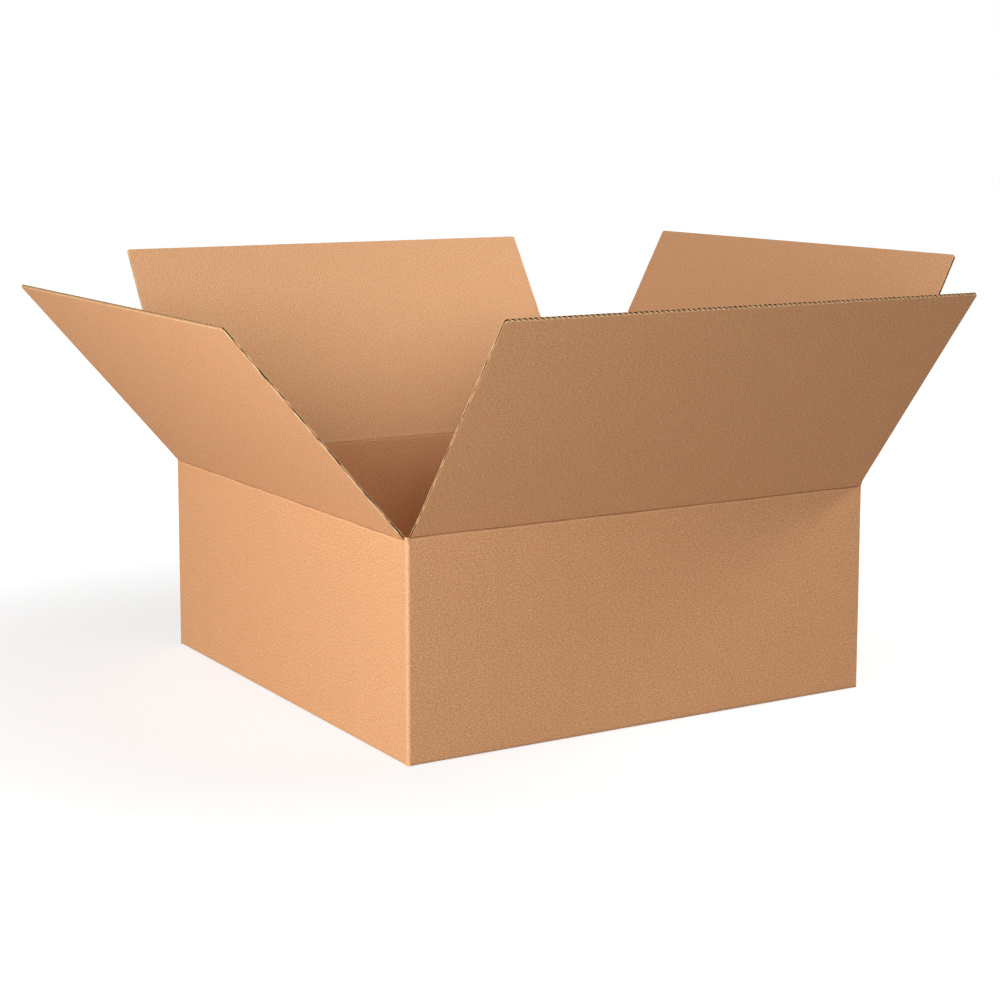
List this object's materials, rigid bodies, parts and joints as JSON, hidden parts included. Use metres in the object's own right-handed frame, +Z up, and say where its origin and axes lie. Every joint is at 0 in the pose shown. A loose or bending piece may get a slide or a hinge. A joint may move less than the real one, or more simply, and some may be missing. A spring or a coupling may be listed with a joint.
{
  "type": "open cardboard box",
  "caption": "Open square shipping box of corrugated board, with a closed bottom and hinged top flaps folded outward.",
  "frame": {"origin": "middle of the bottom, on the surface that the box stands on", "axes": "+Z up, +X along the front wall from the left wall to the right one, +Y from the front wall to the back one"},
  "size_m": [1.1617, 1.18, 0.6234],
  "materials": {
    "wall_board": "matte",
    "flap_board": "matte"
  },
  "bodies": {
    "box_body": {"box_body": "wall_board"},
    "front_flap": {"front_flap": "flap_board"},
    "right_flap": {"right_flap": "flap_board"},
    "back_flap": {"back_flap": "flap_board"},
    "left_flap": {"left_flap": "flap_board"}
  },
  "joints": [
    {"name": "front_flap_fold", "type": "hinge", "parent": "box_body", "child": "front_flap", "pos_m": [0, -0.3723, 0.2971], "axis": [1, 0, 0], "range_deg": [-127.9, 102.1]},
    {"name": "right_flap_fold", "type": "hinge", "parent": "box_body", "child": "right_flap", "pos_m": [0.3723, 0, 0.2929], "axis": [0, 1, 0], "range_deg": [-117.8, 112.2]},
    {"name": "back_flap_fold", "type": "hinge", "parent": "box_body", "child": "back_flap", "pos_m": [0, 0.3723, 0.2971], "axis": [-1, 0, 0], "range_deg": [-123.9, 106.1]},
    {"name": "left_flap_fold", "type": "hinge", "parent": "box_body", "child": "left_flap", "pos_m": [-0.3723, 0, 0.2929], "axis": [0, -1, 0], "range_deg": [-131, 99]}
  ]
}
